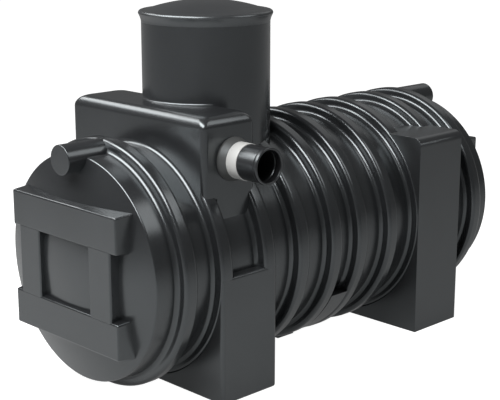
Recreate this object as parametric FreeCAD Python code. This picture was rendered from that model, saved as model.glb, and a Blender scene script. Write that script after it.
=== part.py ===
import FreeCAD, Part
import math
import os

os.makedirs("parts", exist_ok=True)
Vec = FreeCAD.Vector

# Barrel: lies along X, ribbed, one moulded wall thickness
crest_radius = 570.0
groove_depth = 54.0
wall = 9.0
belly_clearance = 6.0
rib_width = 74.0
centre_pitch = 186.0
rib_pitch = 225.0
saddle_pitch = 262.0
end_pitch = 205.0

# Ends: a short plain band, a rounded knuckle and a shallow dome
end_band = 114.0
knuckle_radius = 34.0
dome_rise = 83.0
end_reach = 211.0

# Stiffening frame on each end: two ledges joined by two posts
ledge_half_width = 370.0
ledge_height = 162.0
ledge_gap = 304.0
ledge_draft = 10.0
post_inner = 222.0
post_width = 60.0
post_draft = 24.0

# Blind stubs near the top of each end
stub_radius = 67.0

# Inlet chamber: a square turret over the second and third ribs, standing above the rib crests
turret_inset = 110.0
turret_length = 304.0
turret_rise = 118.0
turret_corner = 65.0
turret_edge = 25.0
turret_shoulder = 50.0

# Access neck and lid
neck_offset = 437.0
neck_radius = 300.0
neck_rise = 349.0
root_fillet = 10.0
lid_overhang = 13.0
lid_flare = 42.0
lid_dome = 46.0
lid_edge = 12.0

# Inlet pipe on the near side of the turret
inlet_offset = 171.0
inlet_drop = 196.0
inlet_reach = 222.0
spigot_radius = 75.0
spigot_wall = 5.0
rim_length = 14.0
rim_overhang = 7.0
seal_radius = 100.0
seal_edge = 8.0
seal_length = 36.0
socket_radius = 86.0
socket_end = 116.0

# Feet: saddles under the second and third ribs from each end
foot_inner = 110.0
foot_corner = 22.0
front_foot_rise = 0.0
rear_foot_rise = 433.0

# Belly pad between the two middle ribs
pad_half_angle = 62.0
pad_inset = 4.0
pad_sole = 280.0

# How finely the lathe-turned rounds are stepped
knuckle_steps = 5
dome_steps = 9

# Lengths closer than this count as equal
tolerance = 0.001

# Places that follow from the sizes above
valley_radius = crest_radius - groove_depth
inner_radius = valley_radius - wall
axis_height = crest_radius + belly_clearance
rib_five = centre_pitch / 2
rib_four = rib_five + rib_pitch
rib_three = rib_four + rib_pitch
rib_two = rib_three + saddle_pitch
rib_one = rib_two + end_pitch
half_ribs = [rib_one, rib_two, rib_three, rib_four, rib_five]
rib_centres = [-x for x in half_ribs] + [x for x in reversed(half_ribs)]
shell_end = rib_one + rib_width / 2
knuckle_end = shell_end + end_band
knuckle_start = knuckle_end - knuckle_radius
outer_face = shell_end + end_reach
saddle_start = rib_two + rib_width / 2
saddle_end = rib_three - rib_width / 2
turret_half_width = crest_radius - turret_inset
turret_height = crest_radius + turret_rise
neck_height = turret_height + neck_rise
inlet_rise = turret_height - inlet_drop
turret_front = -saddle_start
turret_back = turret_front + turret_length
neck_x = turret_front + neck_offset
axis = Vec(0, 0, axis_height)


def up(z):
    return axis_height + z


def ring(outline):
    points = [Vec(x, 0, up(r)) for x, r in outline]
    face = Part.Face(Part.makePolygon(points + points[:1]))
    return face.revolve(axis, Vec(1, 0, 0), 360)


def block(low, high):
    size = [b - a for a, b in zip(low, high)]
    return Part.makeBox(size[0], size[1], size[2], Vec(*low))


def cylinder(radius, start, end):
    run = end - start
    return Part.makeCylinder(radius, run.Length, start, run)


def tube(outer, inner, start, end):
    return cylinder(outer, start, end).cut(cylinder(inner, start, end))


def mirror_x(shape):
    return shape.mirror(Vec(0, 0, 0), Vec(1, 0, 0))


def mirror_y(shape):
    return shape.mirror(Vec(0, 0, 0), Vec(0, 1, 0))


def arc_points(centre, radius, start, end, steps):
    # Points of an arc about centre, angles in degrees from the outward radius
    points = []
    for step in range(steps + 1):
        angle = math.radians(start + (end - start) * step / steps)
        points.append((centre[0] + radius * math.sin(angle), centre[1] + radius * math.cos(angle)))
    return points


def dome_outline(rim, rise, inset, edge_radius):
    # Knuckle and dome as (distance beyond the knuckle's start, radius) points
    corner = rim - edge_radius
    dome_radius = (corner ** 2 + rise ** 2) / (2 * rise)
    slope = math.degrees(math.acos(corner / dome_radius))
    knuckle = arc_points((0, corner), edge_radius - inset, 0, 90, knuckle_steps)
    centre = (edge_radius + rise - dome_radius, 0)
    return knuckle + arc_points(centre, dome_radius - inset, slope, 90, dome_steps)[1:]


def dome_shell(inset):
    dome = dome_outline(valley_radius, dome_rise, inset, knuckle_radius)
    return [(-knuckle_start - run, r) for run, r in dome]


def front_dome():
    return ring(dome_shell(0) + dome_shell(wall)[::-1])


def hoop(x):
    half = rib_width / 2
    inner = half - wall
    return ring([
        (x - half, inner_radius), (x - half, crest_radius),
        (x + half, crest_radius), (x + half, inner_radius),
        (x + inner, inner_radius), (x + inner, crest_radius - wall),
        (x - inner, crest_radius - wall), (x - inner, inner_radius),
    ])


def band(x_low, x_high):
    return ring([
        (x_low, inner_radius), (x_low, valley_radius),
        (x_high, valley_radius), (x_high, inner_radius),
    ])


def barrel_envelope():
    # Outside of the barrel as one solid, for everything that seats on it
    outline = [(-shell_end, 0)]
    for x in rib_centres:
        low = x - rib_width / 2
        high = x + rib_width / 2
        outline += [(low, valley_radius), (low, crest_radius)]
        outline += [(high, crest_radius), (high, valley_radius)]
    outline += [(shell_end, 0)]
    front = ring([(-shell_end, 0), (-shell_end, valley_radius)] + dome_shell(0))
    return ring(outline).fuse([front, mirror_x(front)])


def turret_body(inset):
    # Turret as a solid: top edges and rear corners rounded, front corners nearly square
    height = turret_height - inset
    half = turret_half_width - inset
    low = Vec(turret_front + inset, -half, up(0))
    body = Part.makeBox(turret_length - 2 * inset, 2 * half, height, low)
    upright = [e for e in body.Edges if abs(e.BoundBox.ZLength - height) < tolerance]
    rear = [e for e in upright if e.BoundBox.XMin > turret_front + turret_corner]
    body = body.makeFillet(turret_corner - inset, rear)
    top = [e for e in body.Edges if e.BoundBox.ZMin > up(height) - tolerance]
    body = body.makeFillet(turret_shoulder - inset, top)
    return body.makeFillet(turret_edge - inset, front_corners(body, inset))


def front_corners(body, inset):
    # Upright front edges, and the mitred curves that carry them over the shoulder
    corners = []
    for edge in body.Edges:
        box = edge.BoundBox
        at_front = box.XMin < turret_front + inset + tolerance
        at_side = turret_half_width - inset - abs(box.Center.y) < turret_shoulder
        if at_front and at_side and box.ZLength > tolerance:
            corners.append(edge)
    return corners


def shaft(radius, low, high):
    return cylinder(radius, Vec(neck_x, 0, low), Vec(neck_x, 0, high))


def turret_core():
    # Free space inside turret and neck, cut out of the barrel wall beneath them
    return turret_body(wall).fuse(shaft(neck_radius - wall, up(0), up(neck_height)))


def turret_walls(envelope):
    # One moulded shell, parted along its corner rounds into front, sides, backs and top
    roof = up(turret_height)
    opening = cylinder(spigot_radius, inlet_point(-2 * wall), inlet_point(wall))
    cutters = [turret_body(wall), shaft(neck_radius, up(0), roof), envelope, opening]
    shell = turret_body(0).cut(cutters)
    reach = turret_half_width
    front_line = turret_front + turret_edge
    back_line = turret_back - turret_corner
    shoulder = roof - turret_shoulder
    regions = {
        "turret_top": ((turret_front, -reach, shoulder), (turret_back, reach, roof)),
        "turret_front": ((turret_front, -reach, up(0)), (front_line, reach, shoulder)),
        "turret_side_near": ((front_line, -reach, up(0)), (back_line, 0, shoulder)),
        "turret_side_far": ((front_line, 0, up(0)), (back_line, reach, shoulder)),
        "turret_back_near": ((back_line, -reach, up(0)), (turret_back, 0, shoulder)),
        "turret_back_far": ((back_line, 0, up(0)), (turret_back, reach, shoulder)),
    }
    return {name: shell.common(block(low, high)) for name, (low, high) in regions.items()}


def neck_root():
    # Small fillet where the neck leaves the flat of the turret's roof
    roof = up(turret_height)
    flare = Part.makeCone(neck_radius + root_fillet, neck_radius, root_fillet, Vec(neck_x, 0, roof))
    flat = block(
        (turret_front, -turret_half_width, roof),
        (turret_back - turret_shoulder, turret_half_width, roof + root_fillet)
    )
    return flare.common(flat)


def neck(envelope):
    top = up(neck_height)
    pipe = shaft(neck_radius, up(0), top).fuse(neck_root()).cut(shaft(neck_radius - wall, up(0), top))
    return pipe.cut([turret_body(wall), envelope]).removeSplitter()


def lid_outline(inset):
    skirt_top = up(neck_height + lid_flare)
    dome = dome_outline(neck_radius + lid_overhang, lid_dome, inset, lid_edge)
    seat = (neck_x + neck_radius - inset, up(neck_height))
    return [seat] + [(neck_x + r, skirt_top + run) for run, r in dome]


def lid():
    outline = lid_outline(0) + lid_outline(wall)[::-1]
    points = [Vec(x, 0, z) for x, z in outline]
    face = Part.Face(Part.makePolygon(points + points[:1]))
    return face.revolve(Vec(neck_x, 0, 0), Vec(0, 0, 1), 360)


def inlet_point(reach):
    return Vec(inlet_x, -(turret_half_width + reach), up(inlet_rise))


def inlet_seal():
    # Rubber seal: a thin flange against the wall, tapering out to the socket
    out = Vec(0, -1, 0)
    flange = cylinder(seal_radius, inlet_point(0), inlet_point(seal_edge))
    taper = Part.makeCone(
        seal_radius, socket_radius, seal_length - seal_edge, inlet_point(seal_edge), out
    )
    bore = cylinder(spigot_radius, inlet_point(0), inlet_point(seal_length))
    return flange.fuse(taper).cut(bore).removeSplitter()


def inlet_socket():
    return tube(socket_radius, spigot_radius, inlet_point(seal_length), inlet_point(socket_end))


def inlet_spigot():
    bore = spigot_radius - spigot_wall
    outer = cylinder(spigot_radius, inlet_point(-wall), inlet_point(inlet_reach))
    rim = cylinder(
        spigot_radius + rim_overhang, inlet_point(inlet_reach - rim_length), inlet_point(inlet_reach)
    )
    return outer.fuse(rim).cut(cylinder(bore, inlet_point(-wall), inlet_point(inlet_reach)))


def stub(envelope):
    rise = up(crest_radius - stub_radius)
    body = cylinder(stub_radius, Vec(-outer_face, 0, rise), Vec(-shell_end, 0, rise))
    return body.cut(envelope)


def rectangle(x, half_width, low, high, side):
    corners = [(-half_width, low), (half_width, low), (half_width, high), (-half_width, high)]
    points = [Vec(x, y, up(side * z)) for y, z in corners]
    return Part.makePolygon(points + points[:1])


def ledge(envelope, side):
    # One horizontal ledge, flaring by its draft from its front face to the dome
    low = ledge_gap / 2
    high = low + ledge_height
    root = -(shell_end + end_band / 2)
    front = rectangle(-outer_face, ledge_half_width, low, high, side)
    wide = ledge_half_width + ledge_draft
    back = rectangle(root, wide, low - ledge_draft, high + ledge_draft, side)
    return Part.makeLoft([front, back], True).cut(envelope)


def post(envelope, ledges):
    # Upright between the ledges, wider at the dome than at its front face
    root = -knuckle_end
    near = -post_inner - post_width
    outline = [
        (-outer_face, near), (-outer_face, -post_inner),
        (root, -post_inner + post_draft), (root, near - post_draft),
    ]
    points = [Vec(x, y, up(-ledge_gap / 2)) for x, y in outline]
    face = Part.Face(Part.makePolygon(points + points[:1]))
    return face.extrude(Vec(0, 0, ledge_gap)).cut([envelope] + ledges)


def foot(envelope, x_low, x_high, rise):
    # Block from the ground up, hollowed by the barrel that it carries
    height = up(rise)
    body = block((x_low, -crest_radius, 0), (x_high, -foot_inner, height))
    upright = [e for e in body.Edges if abs(e.BoundBox.ZLength - height) < tolerance]
    outer = [e for e in upright if e.BoundBox.YMax < -foot_inner - tolerance]
    return body.makeFillet(foot_corner, outer).cut(envelope)


def belly_pad(envelope):
    # Filler between the middle ribs, with a flat sole on the ground
    half = (centre_pitch - rib_width) / 2
    filler = ring([
        (-half, valley_radius), (-half, crest_radius - pad_inset),
        (half, crest_radius - pad_inset), (half, valley_radius),
    ])
    reach = crest_radius * math.sin(math.radians(pad_half_angle))
    depth = crest_radius * math.cos(math.radians(pad_half_angle))
    sector = block((-half, -reach, 0), (half, reach, up(-depth)))
    sole = block((-half, -pad_sole / 2, 0), (half, pad_sole / 2, up(-valley_radius)))
    return filler.common(sector).fuse(sole.cut(envelope)).removeSplitter()


def save(name, *solids):
    shape = solids[0] if len(solids) == 1 else Part.makeCompound(solids)
    shape.exportStep("parts/" + name + ".step")


inlet_x = turret_front + inlet_offset
envelope = barrel_envelope()
core = turret_core()

dome = front_dome()
end_band_ring = band(-knuckle_start, -shell_end)
save("front_dome", dome)
save("rear_dome", mirror_x(dome))
save("front_end_band", end_band_ring)
save("rear_end_band", mirror_x(end_band_ring))

for number, x in enumerate(rib_centres, 1):
    save("hoop_%02d" % number, hoop(x).cut(core))

for number, (low, high) in enumerate(zip(rib_centres, rib_centres[1:]), 1):
    save("band_%02d" % number, band(low + rib_width / 2, high - rib_width / 2).cut(core))

upper = ledge(envelope, 1)
lower = ledge(envelope, -1)
posts = [post(envelope, [upper, lower])]
posts.append(mirror_y(posts[0]))
save("front_ledges", upper, lower)
save("front_posts", *posts)
save("rear_ledges", mirror_x(upper), mirror_x(lower))
save("rear_posts", *[mirror_x(solid) for solid in posts])

front_stub = stub(envelope)
save("front_stub", front_stub)
save("rear_stub", mirror_x(front_stub))

front_foot = foot(envelope, -saddle_start, -saddle_end, front_foot_rise)
rear_foot = foot(envelope, saddle_end, saddle_start, rear_foot_rise)
save("front_foot_near", front_foot)
save("front_foot_far", mirror_y(front_foot))
save("rear_foot_near", rear_foot)
save("rear_foot_far", mirror_y(rear_foot))
save("belly_pad", belly_pad(envelope))

for name, solid in turret_walls(envelope).items():
    save(name, solid)
save("neck", neck(envelope))
save("lid", lid())
save("inlet_seal", inlet_seal())
save("inlet_socket", inlet_socket())
save("inlet_spigot", inlet_spigot())
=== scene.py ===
import math
import bmesh
import bpy
from mathutils import Matrix, Vector


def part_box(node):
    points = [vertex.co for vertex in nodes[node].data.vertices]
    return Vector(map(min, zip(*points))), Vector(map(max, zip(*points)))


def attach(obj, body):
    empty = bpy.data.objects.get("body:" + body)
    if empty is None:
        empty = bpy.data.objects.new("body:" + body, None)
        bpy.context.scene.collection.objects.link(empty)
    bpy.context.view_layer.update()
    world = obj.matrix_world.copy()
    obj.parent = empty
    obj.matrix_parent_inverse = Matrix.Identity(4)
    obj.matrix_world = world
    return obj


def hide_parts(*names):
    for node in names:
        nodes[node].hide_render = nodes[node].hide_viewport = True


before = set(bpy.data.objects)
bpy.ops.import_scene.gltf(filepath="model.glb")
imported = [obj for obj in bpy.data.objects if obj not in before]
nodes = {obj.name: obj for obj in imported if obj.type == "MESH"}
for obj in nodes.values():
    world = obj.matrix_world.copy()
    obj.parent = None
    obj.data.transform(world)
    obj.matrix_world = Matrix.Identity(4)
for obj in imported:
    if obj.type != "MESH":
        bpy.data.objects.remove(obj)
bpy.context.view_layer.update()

mm = 0.001
slack = 1 * mm  # allowed when coordinates are compared


# Places read from the frame

def low(node):
    return Vector(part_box(node)[0])


def high(node):
    return Vector(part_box(node)[1])


def middle(node):
    return (low(node) + high(node)) / 2


ribCount = len([name for name in nodes if name.startswith("hoop_")])
ribNames = ["hoop_%02d" % number for number in range(1, ribCount + 1)]
bandNames = [name for name in nodes if name.startswith("band_")]
axisHeight = middle(ribNames[-1]).z
crestRadius = high(ribNames[-1]).z - axisHeight
valleyRadius = high("rear_end_band").z - axisHeight
neckCentre = middle("lid")
neckRadius = high("neck").y
inletCentre = middle("inlet_spigot")

print("frame read: crest", round(crestRadius, 4), "valley", round(valleyRadius, 4),
      "axis", round(axisHeight, 4))


# Finishes

skin = {
    "cloudScale": 3.5, "cloudDetail": 4, "cloudSpan": (0.35, 0.65),
    "speckScale": 60, "speckDetail": 3, "speckSpan": (0.3, 0.7), "speckGloss": (-0.015, 0.015),
    "peelDetail": 2, "peelHeight": 1 * mm, "tint": (0.90, 0.97, 1.0, 1),
}

finishes = {
    "tankShell": {
        "slot": "tank_shell", "colour": (0.0130, 0.0137, 0.0147), "gloss": 0.24, "shine": 1.0,
        "mottle": 0.14, "grain": 260, "depth": 0.04,
    },
    "tankBase": {
        "slot": "tank_base", "colour": (0.0165, 0.0172, 0.0182), "gloss": 0.31, "shine": 1.0,
        "mottle": 0.14, "grain": 240, "depth": 0.006,
    },
    "lidPlastic": {
        "slot": "lid", "colour": (0.0200, 0.0208, 0.0220), "gloss": 0.30, "shine": 1.0,
        "mottle": 0.10, "grain": 300, "depth": 0.04,
    },
    "pipeGloss": {
        "slot": "pipe", "colour": (0.009, 0.009, 0.0098), "gloss": 0.30, "shine": 0.8,
        "mottle": 0.08, "grain": 500, "depth": 0.03,
    },
    "collarWhite": {
        "slot": "white_collar", "colour": (0.38, 0.38, 0.37), "gloss": 0.40, "shine": 0.5,
        "mottle": 0.05, "grain": 500, "depth": 0.06,
    },
    "sealRubber": {
        "slot": "seal", "colour": (0.048, 0.049, 0.048), "gloss": 0.50, "shine": 0.5,
        "mottle": 0.10, "grain": 700, "depth": 0.10,
    },
}


def addSocket(group, name, kind, side, value=None, lowest=None, highest=None):
    socket = group.interface.new_socket(name, in_out=side, socket_type=kind)
    if value is not None:
        socket.default_value = value
    if lowest is not None:
        socket.min_value = lowest
        socket.max_value = highest


def addNoise(tree, place, scale, detail):
    noise = tree.nodes.new("ShaderNodeTexNoise")
    noise.inputs["Scale"].default_value = scale
    noise.inputs["Detail"].default_value = detail
    tree.links.new(place.outputs["Object"], noise.inputs["Vector"])
    return noise


def addRange(tree, source, fromSpan, toSpan):
    # Map Range that turns one span of values into another
    span = tree.nodes.new("ShaderNodeMapRange")
    span.inputs["From Min"].default_value, span.inputs["From Max"].default_value = fromSpan
    span.inputs["To Min"].default_value, span.inputs["To Max"].default_value = toSpan
    tree.links.new(source, span.inputs["Value"])
    return span.outputs["Result"]


def mouldedSkinGroup():
    # Soft mottling, uneven gloss and orange peel of a rotation-moulded skin
    group = bpy.data.node_groups.new("mouldedSkin", "ShaderNodeTree")
    addSocket(group, "Colour", "NodeSocketColor", "INPUT", (0.03, 0.03, 0.03, 1))
    addSocket(group, "Mottle", "NodeSocketFloat", "INPUT", 0.15, 0, 1)
    addSocket(group, "Gloss", "NodeSocketFloat", "INPUT", 0.4, 0, 1)
    addSocket(group, "Grain", "NodeSocketFloat", "INPUT", 400, 0, 5000)
    addSocket(group, "Depth", "NodeSocketFloat", "INPUT", 0.1, 0, 1)
    addSocket(group, "Colour", "NodeSocketColor", "OUTPUT")
    addSocket(group, "Roughness", "NodeSocketFloat", "OUTPUT")
    addSocket(group, "Normal", "NodeSocketVector", "OUTPUT")
    make, link = group.nodes.new, group.links.new
    given = make("NodeGroupInput")
    result = make("NodeGroupOutput")
    place = make("ShaderNodeTexCoord")
    cloud = addNoise(group, place, skin["cloudScale"], skin["cloudDetail"])
    amount = make("ShaderNodeMath")  # shade factor around one
    amount.operation = "MULTIPLY_ADD"
    amount.inputs[2].default_value = 1
    link(addRange(group, cloud.outputs["Fac"], skin["cloudSpan"], (-1, 1)), amount.inputs[0])
    link(given.outputs["Mottle"], amount.inputs[1])
    shade = make("ShaderNodeVectorMath")
    shade.operation = "SCALE"
    link(given.outputs["Colour"], shade.inputs[0])
    link(amount.outputs["Value"], shade.inputs["Scale"])
    link(shade.outputs["Vector"], result.inputs["Colour"])
    speck = addNoise(group, place, skin["speckScale"], skin["speckDetail"])
    gloss = make("ShaderNodeMath")
    gloss.operation = "ADD"
    link(addRange(group, speck.outputs["Fac"], skin["speckSpan"], skin["speckGloss"]), gloss.inputs[0])
    link(given.outputs["Gloss"], gloss.inputs[1])
    link(gloss.outputs["Value"], result.inputs["Roughness"])
    peel = addNoise(group, place, 1, skin["peelDetail"])
    link(given.outputs["Grain"], peel.inputs["Scale"])
    bump = make("ShaderNodeBump")
    bump.inputs["Distance"].default_value = skin["peelHeight"]
    link(given.outputs["Depth"], bump.inputs["Strength"])
    link(peel.outputs["Fac"], bump.inputs["Height"])
    link(bump.outputs["Normal"], result.inputs["Normal"])
    return group


skinGroup = mouldedSkinGroup()


def makeFinish(name):
    wish = finishes[name]
    material = bpy.data.materials.new(name)
    material.use_nodes = True
    tree = material.node_tree
    surface = tree.nodes["Principled BSDF"]
    moulded = tree.nodes.new("ShaderNodeGroup")
    moulded.node_tree = skinGroup
    moulded.inputs["Colour"].default_value = wish["colour"] + (1,)
    moulded.inputs["Mottle"].default_value = wish["mottle"]
    moulded.inputs["Gloss"].default_value = wish["gloss"]
    moulded.inputs["Grain"].default_value = wish["grain"]
    moulded.inputs["Depth"].default_value = wish["depth"]
    surface.inputs["Specular IOR Level"].default_value = wish["shine"]
    surface.inputs["Specular Tint"].default_value = skin["tint"]
    tree.links.new(moulded.outputs["Colour"], surface.inputs["Base Color"])
    tree.links.new(moulded.outputs["Roughness"], surface.inputs["Roughness"])
    tree.links.new(moulded.outputs["Normal"], surface.inputs["Normal"])
    return material


materials = {name: makeFinish(name) for name in finishes}
print("finishes made:", len(materials))


# Modelling helpers

shading = {"sharpAngle": 38, "normalWeight": 80}


def chain(bm, points):
    # Vertices joined one after another by edges
    verts = [bm.verts.new(point) for point in points]
    for first, second in zip(verts, verts[1:]):
        bm.edges.new((first, second))
    return verts


def roundVerts(bm, verts, radius, steps):
    bmesh.ops.bevel(bm, geom=verts, offset=radius, offset_type="OFFSET", segments=steps, profile=0.5,
                    affect="VERTICES", material=-1)


def roundEdges(bm, edges, radius, steps):
    bmesh.ops.bevel(bm, geom=edges, offset=radius, offset_type="OFFSET", segments=steps, profile=0.5,
                    affect="EDGES", material=-1, clamp_overlap=True)


def spinWire(bm, centre, axis, steps):
    bmesh.ops.spin(bm, geom=bm.verts[:] + bm.edges[:], cent=centre, axis=axis, angle=2 * math.pi,
                   steps=steps, use_merge=True, use_normal_flip=False)
    bmesh.ops.remove_doubles(bm, verts=bm.verts[:], dist=0.01 * mm)
    bmesh.ops.recalc_face_normals(bm, faces=bm.faces[:])


def boxBetween(bm, lowest, highest):
    lowest, highest = Vector(lowest), Vector(highest)
    made = bmesh.ops.create_cube(bm, size=1)
    bmesh.ops.scale(bm, vec=highest - lowest, verts=made["verts"])
    bmesh.ops.translate(bm, vec=(highest + lowest) / 2, verts=made["verts"])


def alongAxis(edge, axis):
    run = edge.verts[1].co - edge.verts[0].co
    return abs(run[axis]) > 0.99 * run.length


def toObject(bm, name):
    mesh = bpy.data.meshes.new(name)
    bm.to_mesh(mesh)
    bm.free()
    thing = bpy.data.objects.new(name, mesh)
    bpy.context.scene.collection.objects.link(thing)
    return thing


def discard(thing):
    bpy.data.objects.remove(thing, do_unlink=True)


def cutAway(thing, cutter):
    # Boolean whose result becomes the mesh itself
    cut = thing.modifiers.new("cut", "BOOLEAN")
    cut.operation = "DIFFERENCE"
    cut.object = cutter
    cut.solver = "EXACT"
    graph = bpy.context.evaluated_depsgraph_get()
    mesh = bpy.data.meshes.new_from_object(thing.evaluated_get(graph))
    thing.modifiers.clear()
    thing.data = mesh
    mesh.name = thing.name


def finishPiece(thing, finish, *standsFor):
    thing.data.materials.clear()
    thing.data.materials.append(materials[finish])
    for face in thing.data.polygons:
        face.use_smooth = True
        face.material_index = 0
    thing.data.set_sharp_from_angle(angle=math.radians(shading["sharpAngle"]))
    even = thing.modifiers.new("evenNormals", "WEIGHTED_NORMAL")
    even.weight = shading["normalWeight"]
    even.keep_sharp = True
    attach(thing, "root")
    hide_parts(*standsFor)


# Barrel: one ribbed skin with its two domes

barrel = {
    "crestRound": 20 * mm, "creaseRound": 22 * mm, "roundSteps": 6,
    "rimDepth": 34 * mm, "rimRound": 6 * mm, "domeSteps": 18, "spinSteps": 180,
    "cutterSteps": 96, "cutterInset": 4 * mm,
}


def domePoints(rim, apex, towards):
    # Arc of the dome from its pole to just inside the rim, as (x, radius)
    rise = abs(apex - rim)
    domeRadius = (valleyRadius ** 2 + rise ** 2) / (2 * rise)
    points = []
    for step in range(barrel["domeSteps"]):
        radius = valleyRadius * step / barrel["domeSteps"]
        sag = domeRadius - math.sqrt(domeRadius ** 2 - radius ** 2)
        points.append((apex - towards * sag, radius))
    return points


def barrelOutline():
    # Corners of half the barrel's section, each with the rounding it gets
    apexFront, apexRear = low("front_dome").x, high("rear_dome").x
    rimFront = high("front_dome").x - barrel["rimDepth"]
    rimRear = low("rear_dome").x + barrel["rimDepth"]
    outline = [(x, r, "plain") for x, r in domePoints(rimFront, apexFront, -1)]
    outline.append((rimFront, valleyRadius, "rimRound"))
    for rib in ribNames:
        start, end = low(rib).x, high(rib).x
        outline += [(start, valleyRadius, "creaseRound"), (start, crestRadius, "crestRound")]
        outline += [(end, crestRadius, "crestRound"), (end, valleyRadius, "creaseRound")]
    outline.append((rimRear, valleyRadius, "rimRound"))
    outline += [(x, r, "plain") for x, r in reversed(domePoints(rimRear, apexRear, 1))]
    return outline


def barrelShape(name, steps, rounded=True, inset=0.0):
    bm = bmesh.new()
    outline = barrelOutline()
    verts = chain(bm, [(x, 0, axisHeight + max(r - inset, 0)) for x, r, kind in outline])
    if rounded:
        for wanted in ("rimRound", "creaseRound", "crestRound"):
            corners = [vert for vert, (x, r, kind) in zip(verts, outline) if kind == wanted]
            roundVerts(bm, corners, barrel[wanted], barrel["roundSteps"])
    spinWire(bm, (0, 0, axisHeight), (1, 0, 0), steps)
    return toObject(bm, name)


barrelSkin = barrelShape("barrelSkin", barrel["spinSteps"])
finishPiece(barrelSkin, "tankShell", "front_dome", "rear_dome", "front_end_band", "rear_end_band",
            *ribNames, *bandNames)
print("barrel skin faces:", len(barrelSkin.data.polygons))

# Plain copy of the barrel's outside, a little smaller, that trims whatever seats on it
seatCutter = barrelShape("seatCutter", barrel["cutterSteps"], rounded=False, inset=barrel["cutterInset"])


# Inlet turret with its rounded shoulder

turret = {
    "shoulder": 50 * mm, "steps": 8, "edge": 25 * mm, "edgeSteps": 5, "wall": 9 * mm,
    "skirt": 100 * mm, "bend": 0.12, "holeRadius": 74 * mm, "holeReach": 300 * mm, "holeSides": 64,
}


def turretShape():
    bm = bmesh.new()
    lowest = Vector((low("turret_front").x, low("turret_top").y, axisHeight + turret["skirt"]))
    highest = high("turret_top")
    boxBetween(bm, lowest, highest)
    top = [e for e in bm.edges if min(v.co.z for v in e.verts) > highest.z - slack]
    roundEdges(bm, top, turret["shoulder"], turret["steps"])
    bent = [e for e in bm.edges if e.calc_face_angle(0) > turret["bend"]]
    corners = [e for e in bent if not alongAxis(e, 0) and not alongAxis(e, 1)]
    roundEdges(bm, corners, turret["edge"], turret["edgeSteps"])
    bottom = [f for f in bm.faces if f.calc_center_median().z < lowest.z + slack]
    bmesh.ops.delete(bm, geom=bottom, context="FACES")
    bmesh.ops.remove_doubles(bm, verts=bm.verts[:], dist=0.1 * mm)
    bmesh.ops.recalc_face_normals(bm, faces=bm.faces[:])
    bmesh.ops.solidify(bm, geom=bm.faces[:], thickness=turret["wall"])
    bmesh.ops.recalc_face_normals(bm, faces=bm.faces[:])
    return toObject(bm, "turretShell")


def pipeHoleShape():
    # Cylinder through the turret's near wall, along the inlet's axis
    bm = bmesh.new()
    bmesh.ops.create_cone(bm, cap_ends=True, segments=turret["holeSides"], radius1=turret["holeRadius"],
                          radius2=turret["holeRadius"], depth=2 * turret["holeReach"])
    turn = Vector((0, -1, 0)).to_track_quat("Z", "Y").to_matrix().to_4x4()
    bm.transform(Matrix.Translation(inletCentre) @ turn)
    return toObject(bm, "pipeHole")


turretShell = turretShape()
pipeHole = pipeHoleShape()
cutAway(turretShell, pipeHole)
cutAway(turretShell, seatCutter)
discard(pipeHole)
finishPiece(turretShell, "tankShell", "turret_top", "turret_front", "turret_side_near", "turret_side_far",
            "turret_back_near", "turret_back_far")
print("turret faces:", len(turretShell.data.polygons))


# Feet

foot = {
    "corner": 19 * mm, "brow": 45 * mm, "steps": 6, "edge": 11 * mm, "edgeSteps": 3,
    "bend": 1.0, "tallFrom": 100 * mm,
}


def footShape(node):
    bm = bmesh.new()
    lowest, highest = low(node), high(node)
    outerY = lowest.y if middle(node).y < 0 else highest.y
    boxBetween(bm, lowest, highest)

    def onOuter(edge):
        return all(abs(v.co.y - outerY) < slack for v in edge.verts)

    if highest.z > axisHeight + foot["tallFrom"]:  # only the tall feet have a soft brow
        outer = [e for e in bm.edges if onOuter(e) and alongAxis(e, 0)]
        brow = [e for e in outer if e.verts[0].co.z > highest.z - slack]
        roundEdges(bm, brow, foot["brow"], foot["steps"])
    upright = [e for e in bm.edges if alongAxis(e, 2) and onOuter(e)]
    roundEdges(bm, upright, foot["corner"], foot["steps"])
    rims = [e for e in bm.edges if e.calc_face_angle(0) > foot["bend"] and not alongAxis(e, 2)]
    roundEdges(bm, rims, foot["edge"], foot["edgeSteps"])
    bmesh.ops.recalc_face_normals(bm, faces=bm.faces[:])
    return toObject(bm, node.replace("_", " ").title().replace(" ", ""))


for node in ("front_foot_near", "front_foot_far", "rear_foot_near", "rear_foot_far"):
    block = footShape(node)
    cutAway(block, seatCutter)
    finishPiece(block, "tankBase", node)
print("feet made")


# Frames on the two ends

frameRibs = {
    "halfWidth": 370 * mm, "gap": 152 * mm, "height": 162 * mm, "postInner": 222 * mm,
    "postOuter": 282 * mm, "postOverlap": 10 * mm, "postInset": 1 * mm, "depth": 150 * mm,
    "draft": 12 * mm, "postDraft": 44 * mm, "edge": 8 * mm, "steps": 4,
}


def taperedBar(name, lowest, highest, frontX, spread):
    # Bar whose sides open out by spread from the front face to its root
    bm = bmesh.new()
    boxBetween(bm, lowest, highest)
    centre = (Vector(lowest) + Vector(highest)) / 2
    for vert in bm.verts:
        if abs(vert.co.x - frontX) > slack:
            vert.co.y += math.copysign(spread[0], vert.co.y - centre.y)
            vert.co.z += math.copysign(spread[1], vert.co.z - centre.z)
    roundEdges(bm, bm.edges[:], frameRibs["edge"], frameRibs["steps"])
    bmesh.ops.recalc_face_normals(bm, faces=bm.faces[:])
    return toObject(bm, name)


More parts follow.
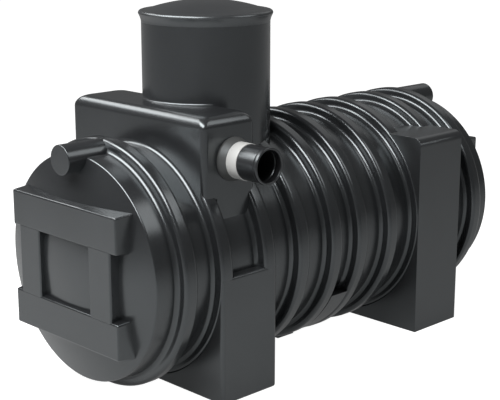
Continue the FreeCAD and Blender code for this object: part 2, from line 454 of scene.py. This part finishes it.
def endFrame(end):
    outward = -1 if end == "front" else 1
    face = low("front_ledges").x if end == "front" else high("rear_ledges").x
    x0, x1 = sorted((face, face - outward * frameRibs["depth"]))
    halfWidth, gap, height = frameRibs["halfWidth"], frameRibs["gap"], frameRibs["height"]
    for label, z0, z1 in (("Upper", gap, gap + height), ("Lower", -gap - height, -gap)):
        bar = taperedBar(end + "Ledge" + label, (x0, -halfWidth, axisHeight + z0),
                         (x1, halfWidth, axisHeight + z1), face, (frameRibs["draft"], frameRibs["draft"]))
        cutAway(bar, seatCutter)
        finishPiece(bar, "tankShell", *([end + "_ledges"] if label == "Upper" else []))
    reach = gap + frameRibs["postOverlap"]
    for label, side in (("Near", -1), ("Far", 1)):
        y0, y1 = sorted((side * frameRibs["postInner"], side * frameRibs["postOuter"]))
        bar = taperedBar(end + "Post" + label, (x0, y0, axisHeight - reach), (x1, y1, axisHeight + reach),
                         face - outward * frameRibs["postInset"], (frameRibs["postDraft"], 0))
        cutAway(bar, seatCutter)
        finishPiece(bar, "tankShell", *([end + "_posts"] if label == "Near" else []))


endFrame("front")
endFrame("rear")
print("end frames made")


# Blind stubs

stub = {"round": 4 * mm, "roundSteps": 4, "rootOverlap": 30 * mm, "sides": 64}


def stubShape(end):
    lowest, highest = low(end + "_stub"), high(end + "_stub")
    z, radius = (highest.z + lowest.z) / 2, (highest.z - lowest.z) / 2
    if end == "front":
        cap, root = lowest.x, highest.x + stub["rootOverlap"]
    else:
        cap, root = highest.x, lowest.x - stub["rootOverlap"]
    bm = bmesh.new()
    verts = chain(bm, [(cap, 0, z), (cap, 0, z + radius), (root, 0, z + radius), (root, 0, z)])
    roundVerts(bm, [verts[1]], stub["round"], stub["roundSteps"])
    spinWire(bm, (0, 0, z), (1, 0, 0), stub["sides"])
    return toObject(bm, end + "Stub")


for end in ("front", "rear"):
    blindStub = stubShape(end)
    cutAway(blindStub, seatCutter)
    finishPiece(blindStub, "tankShell", end + "_stub")
print("stubs made")


# Access neck

neck = {
    "wall": 9 * mm, "skirt": 300 * mm, "sides": 160,
    "fillet": 10 * mm, "filletSteps": 6, "tuckIn": 2 * mm, "tuckDown": 1 * mm,
}


def neckShape():
    bm = bmesh.new()
    bottom, top = axisHeight + neck["skirt"], high("neck").z
    inner = neckRadius - neck["wall"]
    loop = [(inner, bottom), (neckRadius, bottom), (neckRadius, top), (inner, top)]
    verts = chain(bm, [(neckCentre.x + r, 0, z) for r, z in loop])
    bm.edges.new((verts[-1], verts[0]))
    spinWire(bm, (neckCentre.x, 0, 0), (0, 0, 1), neck["sides"])
    return toObject(bm, "accessNeck")


def neckFillet():
    # Fillet between the neck and the flat of the turret's roof
    bm = bmesh.new()
    roof, reach = high("turret_top").z, neck["fillet"]
    wallX = neckCentre.x + neckRadius
    points = [(wallX - neck["tuckIn"], 0, roof - neck["tuckDown"])]
    for step in range(neck["filletSteps"] + 1):
        turn = math.radians(90 * step / neck["filletSteps"])
        points.append((wallX + reach * (1 - math.sin(turn)), 0, roof + reach * (1 - math.cos(turn))))
    chain(bm, points)
    spinWire(bm, (neckCentre.x, 0, 0), (0, 0, 1), neck["sides"])
    roofEnd = Vector((high("turret_top").x - turret["shoulder"], 0, 0))
    bmesh.ops.bisect_plane(bm, geom=bm.verts[:] + bm.edges[:] + bm.faces[:], plane_co=roofEnd,
                           plane_no=(1, 0, 0), clear_outer=True)
    for face in bm.faces:
        if face.normal.z < 0 and face.calc_center_median().z > roof:
            face.normal_flip()
    return toObject(bm, "neckFillet")


accessNeck = neckShape()
cutAway(accessNeck, seatCutter)
finishPiece(accessNeck, "tankShell", "neck")
finishPiece(neckFillet(), "tankShell")
print("access neck made")


# Lid with a flared skirt, a bead and a low dome

lid = {
    "lipIn": 8 * mm, "lipUp": 1 * mm, "flare": 38 * mm, "flareCurve": 1.6, "flareSteps": 6,
    "beadHeight": 15 * mm, "bead": 20 * mm, "beadRound": 14 * mm, "beadSteps": 8,
    "beadFoot": 4 * mm, "beadFootSteps": 3, "dipIn": 8 * mm, "dipDown": 1 * mm,
    "domeSteps": 14, "sides": 160,
}


def lidShape():
    bm = bmesh.new()
    base, top, rim = low("lid").z, high("lid").z, high("lid").y
    outline = [(neckRadius - lid["lipIn"], base + lid["lipUp"]), (neckRadius, base)]
    for step in range(1, lid["flareSteps"]):  # concave flare of the skirt
        part = step / lid["flareSteps"]
        outline.append((neckRadius + (rim - neckRadius) * part ** lid["flareCurve"],
                        base + lid["flare"] * part))
    beadLow, beadHigh = len(outline), len(outline) + 1
    beadTop = base + lid["flare"] + lid["beadHeight"]
    outline += [(rim, base + lid["flare"]), (rim, beadTop), (rim - lid["bead"], beadTop)]
    domeEdge = rim - lid["bead"] - lid["dipIn"]
    rise = top - (beadTop - lid["dipDown"])
    domeRadius = (domeEdge ** 2 + rise ** 2) / (2 * rise)
    for step in range(lid["domeSteps"]):
        r = domeEdge * (lid["domeSteps"] - step) / lid["domeSteps"]
        outline.append((r, top - (domeRadius - math.sqrt(domeRadius ** 2 - r ** 2))))
    outline.append((0, top))
    verts = chain(bm, [(neckCentre.x + r, 0, z) for r, z in outline])
    roundVerts(bm, [verts[beadHigh]], lid["beadRound"], lid["beadSteps"])
    roundVerts(bm, [verts[beadLow]], lid["beadFoot"], lid["beadFootSteps"])
    spinWire(bm, (neckCentre.x, 0, 0), (0, 0, 1), lid["sides"])
    return toObject(bm, "neckLid")


finishPiece(lidShape(), "lidPlastic", "lid")
print("lid made")


# Inlet: rubber seal, white collar and black pipe

inlet = {  # outlines as (distance out of the turret's wall, radius, rounding) in mm
    "seal": [(-2, 75, 0), (-2, 98, 0), (8, 98, 3), (40, 82, 3), (40, 75, 0)],
    "collar": [(36, 75.5, 0), (37, 81.5, 1.5), (44, 81.5, 1), (46, 79.5, 1), (50, 79.5, 1),
               (52, 81.5, 1), (100, 81.5, 2), (100, 75, 0)],
    "pipe": [(-9, 70, 0), (-9, 75, 0), (94, 75, 0), (96, 78.5, 1), (200, 78.5, 3), (206, 82, 3),
             (222, 82, 5), (222, 71, 4), (200, 70, 1), (196, 72.5, 1), (186, 72.5, 1), (182, 70, 1),
             (-9, 70, 0)],
    "roundSteps": 4, "sides": 96,
}


def turned(name, outline):
    # Outline spun about the inlet's axis
    wallY = high("inlet_seal").y
    bm = bmesh.new()
    verts = chain(bm, [(inletCentre.x, wallY - out * mm, inletCentre.z + r * mm) for out, r, edge in outline])
    for vert, (out, r, edge) in zip(verts, outline):
        if edge:
            roundVerts(bm, [vert], edge * mm, inlet["roundSteps"])
    spinWire(bm, (inletCentre.x, 0, inletCentre.z), (0, 1, 0), inlet["sides"])
    return toObject(bm, name)


finishPiece(turned("inletSeal", inlet["seal"]), "sealRubber", "inlet_seal")
finishPiece(turned("inletCollar", inlet["collar"]), "collarWhite", "inlet_socket")
finishPiece(turned("inletPipe", inlet["pipe"]), "pipeGloss", "inlet_spigot")
discard(seatCutter)
print("inlet made")


# CAD nodes that keep their own shape

for name, thing in nodes.items():
    wish = "tankBase" if "foot" in name or "pad" in name else "tankShell"
    for spot in thing.material_slots:
        spot.material = materials[wish]


# Floor, world and lamps

floor = {"radius": 60, "sides": 96, "shade": 0.35, "roughness": 0.9}
light = {
    "floorGlow": 0.25, "roomGlow": 0.14, "target": (0, 0, 0.7),
    "lamps": {  # direction from the tank, distance, size and power
        "topLeftSoftbox": ((-0.66, 0.04, 0.72), 5.0, (5.8, 2.4), 500),
        "farSoftbox": ((-0.30, 0.68, 0.67), 5.0, (2.4, 1.2), 55),
        "rightSoftbox": ((0.73, 0.20, 0.63), 6.0, (3.0, 3.0), 12),
        "nearSoftbox": ((0.24, -0.64, 0.73), 2.9, (1.4, 1.4), 13),
    },
}


def cameraGlow(tree, dim):
    # White for the camera, dimmer for all that the tank reflects
    rays = tree.nodes.new("ShaderNodeLightPath")
    return addRange(tree, rays.outputs["Is Camera Ray"], (0, 1), (dim, 1))


def makeFloor():
    bm = bmesh.new()
    bmesh.ops.create_circle(bm, cap_ends=True, radius=floor["radius"], segments=floor["sides"])
    ground = toObject(bm, "studioFloor")
    material = bpy.data.materials.new("floorWhite")
    material.use_nodes = True
    tree = material.node_tree
    surface = tree.nodes["Principled BSDF"]
    surface.inputs["Base Color"].default_value = (floor["shade"], floor["shade"], floor["shade"], 1)
    surface.inputs["Roughness"].default_value = floor["roughness"]
    surface.inputs["Specular IOR Level"].default_value = 0
    surface.inputs["Emission Color"].default_value = (1, 1, 1, 1)
    tree.links.new(cameraGlow(tree, light["floorGlow"]), surface.inputs["Emission Strength"])
    ground.data.materials.append(material)


def makeWorld():
    world = bpy.data.worlds.new("studioWorld")
    bpy.context.scene.world = world
    world.use_nodes = True
    tree = world.node_tree
    back = tree.nodes["Background"]
    back.inputs["Color"].default_value = (1, 1, 1, 1)
    tree.links.new(cameraGlow(tree, light["roomGlow"]), back.inputs["Strength"])


def areaLamp(name, direction, distance, size, power):
    data = bpy.data.lights.new(name, "AREA")
    data.shape = "RECTANGLE"
    data.size, data.size_y = size
    data.energy = power
    lamp = bpy.data.objects.new(name, data)
    bpy.context.scene.collection.objects.link(lamp)
    aim = Vector(direction).normalized()
    lamp.location = Vector(light["target"]) + aim * distance
    lamp.rotation_euler = aim.to_track_quat("Z", "Y").to_euler()


makeFloor()
makeWorld()
for name, lampWish in light["lamps"].items():
    areaLamp(name, *lampWish)
print("floor and lamps made:", len(light["lamps"]))


# Camera at the photograph's viewing angle

view = {
    "place": (-4.3313, -4.2911, 2.1980), "yaw": 45.519, "pitch": 13.929, "roll": 0.022,
    "focal": 1247.8, "width": 500, "sensor": 36,  # focal length and width in pixels
}


def makeCamera():
    yaw, pitch, roll = (math.radians(view[key]) for key in ("yaw", "pitch", "roll"))
    ahead = Vector((math.cos(yaw) * math.cos(pitch), math.sin(yaw) * math.cos(pitch), -math.sin(pitch)))
    right = ahead.cross(Vector((0, 0, 1))).normalized()
    up = right.cross(ahead)
    side = right * math.cos(roll) + up * math.sin(roll)
    rise = side.cross(ahead)
    data = bpy.data.cameras.new("photoCamera")
    data.sensor_fit = "HORIZONTAL"
    data.sensor_width = view["sensor"]
    data.lens = view["focal"] / view["width"] * view["sensor"]
    camera = bpy.data.objects.new("photoCamera", data)
    bpy.context.scene.collection.objects.link(camera)
    turn = Matrix((side, rise, -ahead)).transposed().to_4x4()
    camera.matrix_world = Matrix.Translation(view["place"]) @ turn
    bpy.context.scene.camera = camera


makeCamera()
bpy.context.scene.view_settings.view_transform = "Standard"
print("scene ready")
